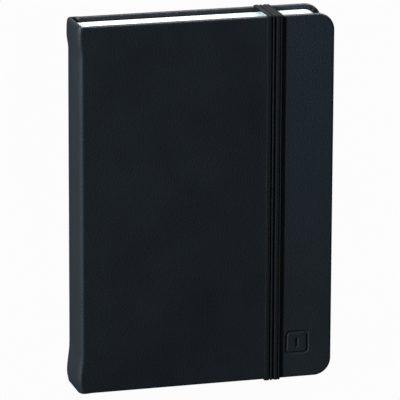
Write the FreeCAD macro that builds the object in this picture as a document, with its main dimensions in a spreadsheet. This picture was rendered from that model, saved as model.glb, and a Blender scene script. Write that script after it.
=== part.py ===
import FreeCAD, Part
import Sketcher
import os

# Pocket notebook with a soft leather cover, rounded fore-edge corners, a sewn block and an elastic closure.
# It stands on its tail. X runs from the spine to the fore edge, Y from the front cover to the back cover
# and Z from tail to head. Inside this file every place is measured from the outer corner where the spine,
# the front face and the tail edge of the covers meet; the origin then moves to the bottom centre.
#
# The book opens round three upright lines. The spine turns about the outer corner of the back shoulder, the
# front cover about the outer corner of the front shoulder, and the front half of the pages about the line
# between the two middle sections. The leather is parted in the middle of each shoulder.

SIZES = {
    # covers
    "cover_height": 150.0,
    "cover_width": 104.5,
    "corner_radius": 7.0,            # the two fore-edge corners of each cover
    "shoulder_radius": 2.6,          # outside bend from the spine into a cover
    "leather_thickness": 0.7,
    "board_thickness": 1.3,
    "turn_in_thickness": 0.4,        # leather pared thin where it is folded inside
    "turn_in_width": 11.0,
    "pastedown_thickness": 0.2,
    "pastedown_margin": 3.6,         # leather left in sight round the pastedown
    "joint_width": 4.0,              # flexible leather from the spine face to the cover
    "board_setback": 0.5,            # the board starts this far inside the cover leather
    "seam_gap": 0.2,
    "seam_angle": 5.0,               # degrees left open in the middle of a shoulder
    "spine_strip_thickness": 0.8,
    # page block
    "page_square": 1.9,              # the covers stand this far past the pages, head and tail
    "fore_square": 2.5,
    "page_corner_radius": 5.5,
    "section_thickness": 1.1,        # one folded section of eight leaves
    "section_fold_radius": 0.45,
    "block_start": 3.4,              # spine folds of the sections, behind the spine face
    "flyleaf_thickness": 0.2,
    "lining_thickness": 0.2,
    "thread_diameter": 0.25,
    "body_gap": 0.15,                # clearance between pieces that move apart
    # pocket inside the back cover
    "pocket_panel_thickness": 0.3,
    "gusset_thickness": 0.5,
    "gusset_width": 7.0,
    "pocket_mouth": 16.0,            # open edge of the pocket, from the spine face
    "pocket_margin": 4.0,            # pocket to the edge of the cover on its other sides
    # elastic closure
    "elastic_width": 6.4,
    "elastic_thickness": 0.55,
    "elastic_inset": 24.8,           # centre line of the band, from the fore edge
    "elastic_gap": 0.05,
    "slot_clearance": 0.1,
    "channel_clearance": 0.02,
    "slot_margin": 1.5,              # from the end of the turn-in to the slot
    "anchor_length": 12.0,
    "anchor_thickness": 0.35,
}

SECTIONS_PER_HALF = 6
SEWING_STATIONS = 5
CUT_PAST = 1.0                       # how far a cutting tool runs out past the face it cuts

doc = FreeCAD.newDocument("PocketNotebook")
sheet = doc.addObject("Spreadsheet::Sheet", "Sizes")
for row, (alias, size) in enumerate(SIZES.items(), start=1):
    sheet.set(f"A{row}", alias)
    sheet.set(f"B{row}", str(size))
    sheet.setAlias(f"B{row}", alias)
doc.recompute()


def add(*terms):
    """Expression for the sum of sizes, numbers and other expressions; a leading minus takes a term away."""
    parts = []
    for term in terms:
        text = str(term)
        sign = "-" if text.startswith("-") else "+"
        text = text.lstrip("-")
        parts.append(f"{sign} {'Sizes.' + text if text in SIZES else text}")
    return "(0 " + " ".join(parts) + ")"


# Places along Y, from the front face to the back face
COVER = add("leather_thickness", "board_thickness", "turn_in_thickness", "pastedown_thickness")
HALF_BLOCK = f"({SECTIONS_PER_HALF} * Sizes.section_thickness)"
FRONT_LEAF = add(COVER, "body_gap")
FRONT_SECTIONS = add(FRONT_LEAF, "flyleaf_thickness", "body_gap")
FRONT_BLOCK_END = add(FRONT_SECTIONS, HALF_BLOCK)
REAR_SECTIONS = add(FRONT_BLOCK_END, "body_gap")
REAR_LEAF = add(REAR_SECTIONS, HALF_BLOCK)
POCKET_PANEL = add(REAR_LEAF, "flyleaf_thickness")
POCKET_GUSSET = add(POCKET_PANEL, "pocket_panel_thickness")
BACK_INSIDE = add(POCKET_GUSSET, "gusset_thickness")
THICKNESS = add(BACK_INSIDE, COVER)

# Places along X, from the spine face to the fore edge
COVER_START = add("joint_width", "seam_gap")
BOARD_START = add(COVER_START, "board_setback")
ELASTIC_MIDDLE = add("cover_width", "-elastic_inset")
ELASTIC_SIDES = (
    f"({ELASTIC_MIDDLE} - Sizes.elastic_width / 2)",
    f"({ELASTIC_MIDDLE} + Sizes.elastic_width / 2)",
)
PAGE_FORE = add("cover_width", "-fore_square")
LINING_FRONT = add("block_start", "-thread_diameter", "-lining_thickness")

# Places along Z, from an end of the covers inwards
SLOT_START = add("turn_in_width", "slot_margin")
SLOT_END = add(SLOT_START, "elastic_thickness")

ORIGIN = (
    "(-Sizes.cover_width / 2)",
    f"(-({THICKNESS} - Sizes.elastic_thickness - Sizes.elastic_gap) / 2)",
    add("elastic_thickness", "elastic_gap"),
)

pieces = []


def keep(item, label):
    """Give a finished sub-part its own label and put it on the list of pieces to write."""
    item.Label = label
    pieces.append(item)
    return item


def place(item, x, y, z):
    """Bind an item's position to a point in the book's own measures."""
    for axis, origin, value in zip("xyz", ORIGIN, (x, y, z)):
        item.setExpression(f"Placement.Base.{axis}", f"{origin} + {value}")


def box(name, x_range, y_range, z_range):
    """A plain block between two places on each axis."""
    block = doc.addObject("Part::Box", name)
    for side, (low, high) in zip(("Length", "Width", "Height"), (x_range, y_range, z_range)):
        block.setExpression(side, f"{high} - {low}")
    place(block, x_range[0], y_range[0], z_range[0])
    return block


def rectangle(body, name, width, height):
    """A rectangle in the body's XZ plane with its lower corner on the body's origin."""
    sketch = body.newObject("Sketcher::SketchObject", name)
    plane = [item for item in body.Origin.OriginFeatures if item.Role == "XZ_Plane"][0]
    sketch.AttachmentSupport = (plane, [""])
    sketch.MapMode = "FlatFace"
    corners = [FreeCAD.Vector(0, 0), FreeCAD.Vector(10, 0), FreeCAD.Vector(10, 10), FreeCAD.Vector(0, 10)]
    for side in range(4):
        sketch.addGeometry(Part.LineSegment(corners[side], corners[(side + 1) % 4]), False)
    for side in range(4):
        sketch.addConstraint(Sketcher.Constraint("Coincident", side, 2, (side + 1) % 4, 1))
        sketch.addConstraint(Sketcher.Constraint("Vertical" if side % 2 else "Horizontal", side))
    sketch.addConstraint(Sketcher.Constraint("Coincident", 0, 1, -1, 1))
    sketch.addConstraint(Sketcher.Constraint("DistanceX", 0, 1, 0, 2, 10))
    sketch.setExpression(f"Constraints[{sketch.ConstraintCount - 1}]", width)
    sketch.addConstraint(Sketcher.Constraint("DistanceY", 1, 1, 1, 2, 10))
    sketch.setExpression(f"Constraints[{sketch.ConstraintCount - 1}]", height)
    return sketch


def edges_along(shape, axis, other_axis, highest):
    """Names of the edges parallel to one axis that lie at the highest or lowest place on another."""
    limit = getattr(shape.BoundBox, other_axis + ("Max" if highest else "Min"))
    names = []
    for number, edge in enumerate(shape.Edges, start=1):
        along = edge.BoundBox
        length = getattr(along, axis + "Length")
        middle = getattr(along.Center, other_axis.lower())
        if length > 0.99 * edge.Length and abs(middle - limit) < 1e-4:
            names.append(f"Edge{number}")
    return names


def plate(name, x_range, y_range, z_range, corner, fold=None):
    """A flat sheet across Y, rounded at its two fore-edge corners and, if folded, along its spine edge."""
    body = doc.addObject("PartDesign::Body", name)
    width = f"{x_range[1]} - {x_range[0]}"
    height = f"{z_range[1]} - {z_range[0]}"
    sketch = rectangle(body, name + "_outline", width, height)
    pad = body.newObject("PartDesign::Pad", name + "_pad")
    pad.Profile = sketch
    pad.Reversed = True
    pad.setExpression("Length", f"{y_range[1]} - {y_range[0]}")
    doc.recompute()
    corners = body.newObject("PartDesign::Fillet", name + "_corners")
    corners.Base = (pad, edges_along(pad.Shape, "Y", "X", True))
    corners.setExpression("Radius", corner)
    doc.recompute()
    if fold:
        folded = body.newObject("PartDesign::Fillet", name + "_fold")
        folded.Base = (corners, edges_along(corners.Shape, "Z", "X", False))
        folded.setExpression("Radius", fold)
    place(body, x_range[0], y_range[0], z_range[0])
    return body


def join(name, items):
    """One solid from several that overlap or touch."""
    union = doc.addObject("Part::MultiFuse", name)
    union.Shapes = items
    union.Refine = True
    return union


def cut(name, base, tools):
    """The base with every tool taken out of it."""
    result = doc.addObject("Part::Cut", name)
    result.Base = base
    result.Tool = tools[0] if len(tools) == 1 else join(name + "_tools", tools)
    result.Refine = True
    return result


def from_end(end, near, far):
    """Places along Z between two distances from the tail or the head of the covers."""
    if end == "tail":
        return near, far
    return f"(Sizes.cover_height - {far})", f"(Sizes.cover_height - {near})"


def layer(side, near, far):
    """Places along Y between two depths below the outer face of the front or back cover."""
    if side == "front":
        return near, far
    return f"({THICKNESS} - {far})", f"({THICKNESS} - {near})"


ENDS = ("tail", "head")
FULL_HEIGHT = ("0", "Sizes.cover_height")
SKIN = add("leather_thickness")
BOARD_INSIDE = add("leather_thickness", "board_thickness")
LEATHER_INSIDE = add(BOARD_INSIDE, "turn_in_thickness")


def elastic_openings(side_name):
    """Slots for the band through the back cover and the shallow channels that lead to them."""
    sides = (f"({ELASTIC_SIDES[0]} - Sizes.slot_clearance)", f"({ELASTIC_SIDES[1]} + Sizes.slot_clearance)")
    slot_low = add(SLOT_START, "-slot_clearance")
    slot_high = add(SLOT_END, "slot_clearance")
    tools = []
    for end in ENDS:
        through = layer("back", f"(-{CUT_PAST})", LEATHER_INSIDE)
        tools.append(box(f"{side_name}_{end}_slot", sides, through, from_end(end, slot_low, slot_high)))
        shallow = layer("back", f"(-{CUT_PAST})", add("elastic_thickness", "channel_clearance"))
        channel = from_end(end, f"(-{CUT_PAST})", slot_high)
        tools.append(box(f"{side_name}_{end}_channel", sides, shallow, channel))
    return tools


def cover_board(side):
    """The stiff board inside a cover; the back one has the two slots of the elastic."""
    reach = (BOARD_START, add("cover_width", "-leather_thickness"))
    height = (SKIN, add("cover_height", "-leather_thickness"))
    board = plate(f"{side}_board_blank", reach, layer(side, SKIN, BOARD_INSIDE), height,
                  add("corner_radius", "-leather_thickness"))
    if side == "back":
        return keep(cut("back_board_slotted", board, elastic_openings("board")), "back_board")
    return keep(board, "front_board")


def cover_leather(side):
    """Leather over the outside of a board, round its three free edges and turned in on the inside."""
    reach = (COVER_START, add("cover_width"))
    outside = plate(f"{side}_leather_block", reach, layer(side, "0", LEATHER_INSIDE), FULL_HEIGHT,
                    add("corner_radius"))
    open_side = f"({COVER_START} - {CUT_PAST})"
    cavity = plate(f"{side}_board_space", (open_side, add("cover_width", "-leather_thickness")),
                   layer(side, SKIN, BOARD_INSIDE), (SKIN, add("cover_height", "-leather_thickness")),
                   add("corner_radius", "-leather_thickness"))
    window = box(f"{side}_window", (open_side, add("cover_width", "-turn_in_width")),
                 layer(side, BOARD_INSIDE, f"({LEATHER_INSIDE} + {CUT_PAST})"),
                 (add("turn_in_width"), add("cover_height", "-turn_in_width")))
    tools = [cavity, window]
    if side == "back":
        tools += elastic_openings("leather")
    return keep(cut(f"{side}_leather_wrapped", outside, tools), f"{side}_cover_leather")


def pastedown(side):
    """Endpaper glued over the board and the turned-in leather."""
    reach = (BOARD_START, add("cover_width", "-pastedown_margin"))
    height = (add("pastedown_margin"), add("cover_height", "-pastedown_margin"))
    return keep(plate(f"{side}_pastedown", reach, layer(side, LEATHER_INSIDE, COVER), height,
                      add("page_corner_radius")), f"{side}_pastedown")


def shoulder(name, side, first_angle):
    """Just under an eighth of a turn of bent leather, standing in the book's front or back shoulder."""
    middle_y = layer(side, add("shoulder_radius"), add("shoulder_radius"))[0]
    rings = []
    for part_name, radius in (("outer", add("shoulder_radius")),
                              ("inner", add("shoulder_radius", "-leather_thickness"))):
        ring = doc.addObject("Part::Cylinder", f"{name}_{part_name}")
        ring.setExpression("Radius", radius)
        ring.setExpression("Height", "Sizes.cover_height")
        ring.Placement.Rotation = FreeCAD.Rotation(FreeCAD.Vector(0, 0, 1), 1)
        ring.setExpression("Placement.Rotation.Angle", first_angle)
        if part_name == "outer":
            ring.setExpression("Angle", "45 - Sizes.seam_angle / 2")
        place(ring, add("shoulder_radius"), middle_y, "0")
        rings.append(ring)
    return cut(name, rings[0], [rings[1]])


def joint_leather(side):
    """Flexible leather between a shoulder and its cover, outer half of the bend included."""
    first_angle = "225 + Sizes.seam_angle / 2" if side == "front" else "90"
    bend = shoulder(f"{side}_joint_bend", side, first_angle)
    flat = box(f"{side}_joint_flat", (add("shoulder_radius"), add("joint_width")),
               layer(side, "0", SKIN), FULL_HEIGHT)
    return keep(join(f"{side}_joint_whole", [bend, flat]), f"{side}_joint_leather")


def spine():
    """Leather over the spine, with its half of each bend, and the stiff strip that it is folded over."""
    across = (add("shoulder_radius"), f"({THICKNESS} - Sizes.shoulder_radius)")
    strip_inside = add("leather_thickness", "spine_strip_thickness")
    lip_inside = add(strip_inside, "turn_in_thickness")
    solids = [
        box("spine_face", ("0", SKIN), across, FULL_HEIGHT),
        shoulder("spine_front_bend", "front", "180"),
        shoulder("spine_back_bend", "back", "135 + Sizes.seam_angle / 2"),
    ]
    for end in ENDS:
        solids.append(box(f"spine_{end}_wall", ("0", lip_inside), across, from_end(end, "0", SKIN)))
        solids.append(box(f"spine_{end}_lip", (strip_inside, lip_inside), across,
                          from_end(end, "0", add("turn_in_width"))))
    keep(join("spine_skin", solids), "spine_leather")
    strip_height = (SKIN, add("cover_height", "-leather_thickness"))
    keep(box("spine_stiffener", (SKIN, strip_inside), across, strip_height), "spine_strip")


def page_sheet(name, y_start, thickness, fold=None):
    """A sheet or section of the block, inside the covers on its three cut sides."""
    height = (add("page_square"), add("cover_height", "-page_square"))
    return keep(plate(name + "_sheet", (add("block_start"), PAGE_FORE), (y_start, add(y_start, thickness)),
                      height, add("page_corner_radius"), fold), name)


def half_block(half, y_start, first_number):
    """Six sewn sections of one half, with the threads and the lining across their folds."""
    for index in range(SECTIONS_PER_HALF):
        y_section = f"({y_start} + {index} * Sizes.section_thickness)"
        page_sheet(f"section_{first_number + index:02d}", y_section, "section_thickness",
                   add("section_fold_radius"))
    height = (add("page_square"), add("cover_height", "-page_square"))
    reach = (LINING_FRONT, add("block_start", "-thread_diameter"))
    across = (y_start, add(y_start, HALF_BLOCK))
    keep(box(f"{half}_lining_strip", reach, across, height), f"{half}_spine_lining")
    threads = []
    for station in range(1, SEWING_STATIONS + 1):
        thread = doc.addObject("Part::Cylinder", f"{half}_thread_{station}")
        thread.setExpression("Radius", "Sizes.thread_diameter / 2")
        thread.setExpression("Height", HALF_BLOCK)
        thread.Placement.Rotation = FreeCAD.Rotation(FreeCAD.Vector(1, 0, 0), -90)
        place(thread, "(Sizes.block_start - Sizes.thread_diameter / 2)", y_start,
              f"(Sizes.cover_height * {station} / {SEWING_STATIONS + 1})")
        threads.append(thread)
    sewing = doc.addObject("Part::Compound", f"{half}_threads")
    sewing.Links = threads
    keep(sewing, f"{half}_sewing_thread")


def pocket():
    """Paper pocket on the back pastedown: a panel turned over at the fore edge, a folded gusset at each end."""
    fore = add("cover_width", "-pocket_margin")
    mouth = add("pocket_mouth")
    height = (add("pocket_margin"), add("cover_height", "-pocket_margin"))
    gusset_depth = (POCKET_GUSSET, BACK_INSIDE)
    panel = box("pocket_face", (mouth, fore), (POCKET_PANEL, POCKET_GUSSET), height)
    edge = box("pocket_turned_edge", (add(fore, "-pocket_panel_thickness"), fore), gusset_depth, height)
    keep(join("pocket_folded_panel", [panel, edge]), "pocket_panel")
    for end in ENDS:
        reach = (mouth, add(fore, "-pocket_panel_thickness"))
        band = from_end(end, add("pocket_margin"), add("pocket_margin", "gusset_width"))
        keep(box(f"pocket_{end}_fold", reach, gusset_depth, band), f"pocket_{end}_gusset")


def elastic():
    """Flat woven band: a strand down the front, a leg over each end, an anchored tail through each slot."""
    outside = add("elastic_gap", "elastic_thickness")
    over_ends = (f"(0 - {outside})", add("cover_height", outside))
    front = (f"(0 - {outside})", "(0 - Sizes.elastic_gap)")
    keep(box("elastic_front", ELASTIC_SIDES, front, over_ends), "elastic_strand")
    for end in ENDS:
        beyond = from_end(end, f"(0 - {outside})", "(0 - Sizes.elastic_gap)")
        keep(box(f"elastic_{end}_run", ELASTIC_SIDES, ("0", THICKNESS), beyond), f"elastic_{end}_leg")
        tab_inside = add(BOARD_INSIDE, "anchor_thickness")
        back_run = box(f"{end}_back_run", ELASTIC_SIDES, layer("back", "0", add("elastic_thickness")),
                       from_end(end, "(0 - Sizes.elastic_gap)", SLOT_END))
        through = box(f"{end}_through_slot", ELASTIC_SIDES, layer("back", "0", tab_inside),
                      from_end(end, SLOT_START, SLOT_END))
        tab = box(f"{end}_glued_tab", ELASTIC_SIDES, layer("back", BOARD_INSIDE, tab_inside),
                  from_end(end, SLOT_START, add(SLOT_START, "anchor_length")))
        keep(join(f"elastic_{end}_tail", [back_run, through, tab]), f"elastic_{end}_anchor")


for cover_side in ("back", "front"):
    cover_board(cover_side)
    cover_leather(cover_side)
    pastedown(cover_side)
    joint_leather(cover_side)
spine()
page_sheet("front_flyleaf", FRONT_LEAF, "flyleaf_thickness")
half_block("front", FRONT_SECTIONS, 1)
half_block("rear", REAR_SECTIONS, SECTIONS_PER_HALF + 1)
page_sheet("back_flyleaf", REAR_LEAF, "flyleaf_thickness")
pocket()
elastic()
doc.recompute()

for item in doc.Objects:
    if "Invalid" in item.State or "Error" in item.State:
        raise RuntimeError(f"{item.Label} failed: {item.State}")
for item in pieces:
    if item.Shape.isNull() or not item.Shape.isValid() or item.Shape.Volume <= 0:
        raise RuntimeError(f"{item.Label} has no valid shape")

os.makedirs("parts", exist_ok=True)
for item in pieces:
    item.Shape.exportStep(f"parts/{item.Label}.step")
    print(item.Label, len(item.Shape.Solids), round(item.Shape.Volume, 2))
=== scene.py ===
"""Pocket notebook: soft black leather over boards, a sewn block of pages and a flat elastic closure.

Lengths are in metres. X runs from the spine to the fore edge, Y from the front cover to the back
cover and Z from tail to head.
"""
import math

import bmesh
import bpy
import numpy as np
from mathutils import Matrix, Vector


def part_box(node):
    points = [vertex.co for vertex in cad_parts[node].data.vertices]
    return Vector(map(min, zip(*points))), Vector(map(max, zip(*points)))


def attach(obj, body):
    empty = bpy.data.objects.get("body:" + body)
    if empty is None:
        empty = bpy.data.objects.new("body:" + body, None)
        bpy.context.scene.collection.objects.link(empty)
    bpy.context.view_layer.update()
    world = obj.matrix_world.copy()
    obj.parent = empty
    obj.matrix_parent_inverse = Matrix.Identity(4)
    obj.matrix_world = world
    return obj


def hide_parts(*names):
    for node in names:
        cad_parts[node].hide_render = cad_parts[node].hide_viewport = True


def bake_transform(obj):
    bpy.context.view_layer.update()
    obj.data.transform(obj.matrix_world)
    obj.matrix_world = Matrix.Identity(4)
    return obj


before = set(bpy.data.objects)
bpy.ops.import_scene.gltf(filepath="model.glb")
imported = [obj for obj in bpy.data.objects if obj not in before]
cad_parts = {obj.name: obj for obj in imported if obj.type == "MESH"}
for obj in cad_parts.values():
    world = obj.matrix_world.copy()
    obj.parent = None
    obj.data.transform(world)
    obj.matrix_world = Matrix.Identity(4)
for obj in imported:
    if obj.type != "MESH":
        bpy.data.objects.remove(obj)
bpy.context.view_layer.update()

MM = 0.001
rng = np.random.default_rng(7)

# ---------------------------------------------------------------- places taken from the frame

front_low, front_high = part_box("front_cover_leather")
_, back_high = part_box("back_cover_leather")
spine_low, spine_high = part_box("spine_leather")
page_low, page_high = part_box("section_01")
strand_low, strand_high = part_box("elastic_strand")
anchor_low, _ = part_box("elastic_tail_anchor")

FRONT_FACE = front_low.y
BACK_FACE = back_high.y
SPINE_FACE = spine_low.x
FORE = front_high.x
TAIL = front_low.z
HEAD = front_high.z
COVER = front_high.y - front_low.y               # leather, board and turn-in
SPINE_THICK = spine_high.x - spine_low.x
PAGE_FORE = page_high.x
PAGE_SPINE = page_low.x
PAGE_TAIL = page_low.z
PAGE_HEAD = page_high.z
MIDDLE = (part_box("section_06")[1].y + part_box("section_07")[0].y) / 2
BAND_LEFT, BAND_RIGHT = strand_low.x, strand_high.x
BAND_HALF = (BAND_RIGHT - BAND_LEFT) / 2
BAND_MIDDLE = (BAND_RIGHT + BAND_LEFT) / 2
BAND_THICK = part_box("elastic_tail_leg")[1].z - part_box("elastic_tail_leg")[0].z

CORNER = 7.0 * MM                                # fore-edge corners of the covers
PAGE_CORNER = 5.5 * MM
REACH = 5.0 * MM                                 # width of the edge band, outline to flat
JOINT_THICK = 1.1 * MM                           # two layers of leather, no board
EDGE_ROUND = 0.85 * MM                           # how far the rolled edge reaches in from the outline
ROUND_POWER = 2.4                                # of the superellipse of the rolled edge
FLAT_START = SPINE_FACE + 6.0 * MM               # the covers are flat and of full thickness from here
RIB_PITCH = 0.36 * MM                            # fine ribs of the elastic
STITCH_PITCH = 0.42 * MM
SLOT_RUN = 12.0 * MM                             # the elastic on the back, from its bend to its slot
RULING = 6.5 * MM


# ---------------------------------------------------------------- mesh helpers

def smoothstep(low, high, value):
    """0 below low, 1 above high, and 3t^2 - 2t^3 in between."""
    t = np.clip((value - low) / (high - low), 0.0, 1.0)
    return t * t * (3.0 - 2.0 * t)


def stops(*pairs):
    """Increasing places made of straight runs: each pair is (end of the run, number of steps to it)."""
    places = [np.array([pairs[0][0]])]
    for (start, _), (end, steps) in zip(pairs, pairs[1:]):
        places.append(np.linspace(start, end, steps + 1)[1:])
    return np.concatenate(places)


def quads_of(index):
    """Quads between neighbouring entries of a table of vertex numbers."""
    return np.stack([index[:-1, :-1], index[1:, :-1], index[1:, 1:], index[:-1, 1:]], -1).reshape(-1, 4)


def rim_of(index):
    """Quads that close the gap between two grids of vertex numbers, round all four edges."""
    around = [index[:, :, 0], index[:, -1, 1:], index[:, ::-1, -1][:, 1:], index[:, 0, ::-1][:, 1:]]
    return quads_of(np.concatenate(around, 1))


def make_piece(name, points, faces, material, caps=(), uv=None, attributes=None):
    """A mesh object at the origin from points (n, 3) and a list of face tables, with faces pointing outwards.

    caps are more face tables, whose rims stay sharp: the cut ends and thin edges of a piece.
    """
    mesh = bpy.data.meshes.new(name)
    smooth_faces = [list(map(int, face)) for table in faces for face in table]
    cap_faces = [list(map(int, face)) for table in caps for face in table]
    mesh.from_pydata(np.asarray(points, float).reshape(-1, 3).tolist(), [], smooth_faces + cap_faces)
    shell = bmesh.new()
    shell.from_mesh(mesh)
    shell.faces.ensure_lookup_table()
    for face in shell.faces[len(smooth_faces):]:
        for edge in face.edges:
            edge.smooth = all(other.index >= len(smooth_faces) for other in edge.link_faces)
    bmesh.ops.recalc_face_normals(shell, faces=shell.faces)
    shell.to_mesh(mesh)
    shell.free()
    for key, values in (attributes or {}).items():
        layer = mesh.attributes.new(key, "FLOAT", "POINT")
        layer.data.foreach_set("value", np.asarray(values, np.float32).ravel())
    if uv is not None:
        corners = np.zeros(len(mesh.loops), int)
        mesh.loops.foreach_get("vertex_index", corners)
        mesh.uv_layers.new(name="UVMap").data.foreach_set("uv", np.asarray(uv, np.float32)[corners].ravel())
    mesh.shade_smooth()
    piece = bpy.data.objects.new(name, mesh)
    bpy.context.scene.collection.objects.link(piece)
    mesh.materials.append(material)
    return piece


# ---------------------------------------------------------------- shader helpers

def add_node(tree, kind, values=None, **settings):
    """A node of one kind with its settings and the values of its unlinked inputs."""
    node = tree.nodes.new(kind)
    for key, value in settings.items():
        setattr(node, key, value)
    for key, value in (values or {}).items():
        node.inputs[key].default_value = value
    return node


def math_node(tree, operation, first, second=None, third=None):
    """One Math node; each operand is a socket or a number."""
    node = add_node(tree, "ShaderNodeMath", operation=operation)
    for slot_number, operand in enumerate((first, second, third)):
        if operand is None:
            continue
        if isinstance(operand, (int, float)):
            node.inputs[slot_number].default_value = operand
        else:
            tree.links.new(operand, node.inputs[slot_number])
    return node.outputs[0]


def remap(tree, socket, low, high, new_low, new_high):
    """Socket's range low..high carried to new_low..new_high and clamped."""
    node = add_node(tree, "ShaderNodeMapRange", {1: low, 2: high, 3: new_low, 4: new_high})
    tree.links.new(socket, node.inputs[0])
    return node.outputs[0]


def mix_colors(tree, factor, first, second):
    """Two colours mixed by a socket; each colour is a socket or a tuple."""
    node = add_node(tree, "ShaderNodeMix", data_type="RGBA")
    tree.links.new(factor, node.inputs["Factor"])
    for key, color in ((6, first), (7, second)):
        if isinstance(color, tuple):
            node.inputs[key].default_value = (*color, 1.0)
        else:
            tree.links.new(color, node.inputs[key])
    return node.outputs[2]


def new_group(name, inputs, outputs):
    """An empty node group with float or vector inputs and float outputs."""
    tree = bpy.data.node_groups.new(name, "ShaderNodeTree")
    for label, kind in inputs:
        tree.interface.new_socket(label, in_out="INPUT", socket_type="NodeSocket" + kind)
    for label in outputs:
        tree.interface.new_socket(label, in_out="OUTPUT", socket_type="NodeSocketFloat")
    return tree, tree.nodes.new("NodeGroupInput"), tree.nodes.new("NodeGroupOutput")


def leather_grain_group():
    """Fine pebbled grain: rounded cells with narrow creases, finer pores over them, and slow mottling."""
    tree, start, end = new_group("leather_grain", [("Vector", "Vector"), ("Cell Size", "Float")],
                                 ["Height", "Crease", "Mottle"])
    frequency = math_node(tree, "DIVIDE", 1.0, start.outputs["Cell Size"])
    warp = add_node(tree, "ShaderNodeTexNoise", {"Scale": 420.0, "Detail": 2.0})
    tree.links.new(start.outputs["Vector"], warp.inputs["Vector"])
    shifted = add_node(tree, "ShaderNodeVectorMath", operation="MULTIPLY_ADD")
    tree.links.new(warp.outputs["Color"], shifted.inputs[0])
    shifted.inputs[1].default_value = (0.0006,) * 3
    tree.links.new(start.outputs["Vector"], shifted.inputs[2])
    cells = add_node(tree, "ShaderNodeTexVoronoi", feature="DISTANCE_TO_EDGE")
    tree.links.new(shifted.outputs[0], cells.inputs["Vector"])
    tree.links.new(frequency, cells.inputs["Scale"])
    crease = remap(tree, cells.outputs["Distance"], 0.0, 0.16, 1.0, 0.0)
    pores = add_node(tree, "ShaderNodeTexNoise", {"Scale": 5200.0, "Detail": 3.0, "Roughness": 0.6})
    tree.links.new(start.outputs["Vector"], pores.inputs["Vector"])
    slow = add_node(tree, "ShaderNodeTexNoise", {"Scale": 38.0, "Detail": 4.0, "Roughness": 0.55})
    tree.links.new(start.outputs["Vector"], slow.inputs["Vector"])
    dome = remap(tree, cells.outputs["Distance"], 0.0, 0.35, 0.0, 1.0)
    height = math_node(tree, "MULTIPLY_ADD", pores.outputs["Fac"], 0.35, dome)
    tree.links.new(height, end.inputs["Height"])
    tree.links.new(crease, end.inputs["Crease"])
    tree.links.new(slow.outputs["Fac"], end.inputs["Mottle"])
    return tree


def paper_fibre_group():
    """Uncoated paper: soft clouding and short fibres that run mostly one way."""
    tree, start, end = new_group("paper_fibre", [("Vector", "Vector"), ("Fibre Size", "Float")],
                                 ["Height", "Cloud"])
    stretch = add_node(tree, "ShaderNodeMapping")
    stretch.inputs["Scale"].default_value = (1.0, 1.0, 0.35)
    tree.links.new(start.outputs["Vector"], stretch.inputs["Vector"])
    frequency = math_node(tree, "DIVIDE", 1.0, start.outputs["Fibre Size"])
    fibres = add_node(tree, "ShaderNodeTexNoise", {"Detail": 5.0, "Roughness": 0.65})
    tree.links.new(stretch.outputs[0], fibres.inputs["Vector"])
    tree.links.new(frequency, fibres.inputs["Scale"])
    cloud = add_node(tree, "ShaderNodeTexNoise", {"Scale": 160.0, "Detail": 3.0})
    tree.links.new(start.outputs["Vector"], cloud.inputs["Vector"])
    tree.links.new(fibres.outputs["Fac"], end.inputs["Height"])
    tree.links.new(cloud.outputs["Fac"], end.inputs["Cloud"])
    return tree


def dust_group():
    """Sparse pale specks and lint, as a mask."""
    tree, start, end = new_group("fine_dust", [("Vector", "Vector"), ("Amount", "Float")], ["Mask"])
    specks = add_node(tree, "ShaderNodeTexVoronoi", {"Scale": 900.0}, feature="F1")
    tree.links.new(start.outputs["Vector"], specks.inputs["Vector"])
    spots = remap(tree, specks.outputs["Distance"], 0.05, 0.16, 1.0, 0.0)
    drift = add_node(tree, "ShaderNodeTexNoise", {"Scale": 60.0, "Detail": 3.0})
    tree.links.new(start.outputs["Vector"], drift.inputs["Vector"])
    patches = remap(tree, drift.outputs["Fac"], 0.5, 0.75, 0.0, 1.0)
    covered = math_node(tree, "MULTIPLY", spots, patches)
    tree.links.new(math_node(tree, "MULTIPLY", covered, start.outputs["Amount"]), end.inputs["Mask"])
    return tree


LEATHER_GRAIN = leather_grain_group()
PAPER_FIBRE = paper_fibre_group()
FINE_DUST = dust_group()


def new_material(name, roughness, specular=0.5):
    """A material with its Principled shader; returns it, its tree, the shader and the object coordinates."""
    material = bpy.data.materials.new(name)
    material.use_nodes = True
    tree = material.node_tree
    shader = tree.nodes["Principled BSDF"]
    shader.inputs["Roughness"].default_value = roughness
    shader.inputs["Specular IOR Level"].default_value = specular
    place = tree.nodes.new("ShaderNodeTexCoord").outputs["Object"]
    return material, tree, shader, place


def use_group(tree, group, place, **values):
    """A node group placed in a material, fed with a place and its own values."""
    node = add_node(tree, "ShaderNodeGroup", node_tree=group)
    tree.links.new(place, node.inputs["Vector"])
    for key, value in values.items():
        node.inputs[key.replace("_", " ")].default_value = value
    return node


def add_bump(tree, shader, height, strength, distance):
    """Bump from a height socket into the shader's normal; distance in metres."""
    bump = add_node(tree, "ShaderNodeBump", {"Strength": strength, "Distance": distance})
    tree.links.new(height, bump.inputs["Height"])
    tree.links.new(bump.outputs["Normal"], shader.inputs["Normal"])


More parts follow.
